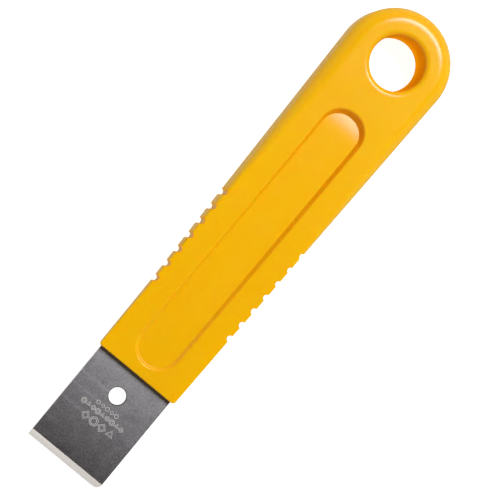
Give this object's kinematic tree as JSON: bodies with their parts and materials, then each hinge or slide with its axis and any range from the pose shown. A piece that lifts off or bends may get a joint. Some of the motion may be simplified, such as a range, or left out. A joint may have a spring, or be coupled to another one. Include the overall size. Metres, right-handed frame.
{
  "type": "blade scraper",
  "caption": "Hand scraper with a flat stainless blade clamped in a tapering plastic handle, with side finger notches, a sunk front panel and a hang hole.",
  "frame": {"origin": "middle of the footprint of the bounding box, on the flat back", "axes": "+X from the cutting edge to the hang hole, +Z out of the front face, +Y to the left side seen from the front with the hang hole up"},
  "size_m": [0.1595, 0.0314, 0.014],
  "materials": {
    "handle_plastic": "satin moulded",
    "cover_plastic": "satin moulded",
    "blade_steel": "fine blasted, with a bright ground edge",
    "plate_steel": "rolled sheet",
    "fastener_steel": "bright",
    "insert_brass": "turned"
  },
  "bodies": {
    "handle": {"handle_body": "handle_plastic", "back_cover": "cover_plastic", "clamp_plate": "plate_steel", "threaded_insert": "insert_brass", "cover_screw_1": "fastener_steel", "cover_screw_2": "fastener_steel", "cover_screw_3": "fastener_steel", "cover_screw_4": "fastener_steel"},
    "blade": {"blade": "blade_steel"},
    "clamp_washer": {"clamp_washer": "fastener_steel"},
    "clamp_screw": {"clamp_screw": "fastener_steel"}
  },
  "joints": [
    {"name": "blade_slide", "type": "slide", "parent": "handle", "child": "blade", "axis": [-1, 0, 0], "range_m": [0, 0.02]},
    {"name": "clamp_lift", "type": "slide", "parent": "handle", "child": "clamp_washer", "axis": [0, 0, -1], "range_m": [0, 0.002]},
    {"name": "clamp_turn", "type": "hinge", "parent": "clamp_washer", "child": "clamp_screw", "pos_m": [-0.03615, 0, 0.001], "axis": [0, 0, -1], "range_deg": [0, 1440]}
  ],
  "couplings": [
    {"joint": "clamp_turn", "follows": "clamp_lift", "rad_per_m": 12566}
  ]
}
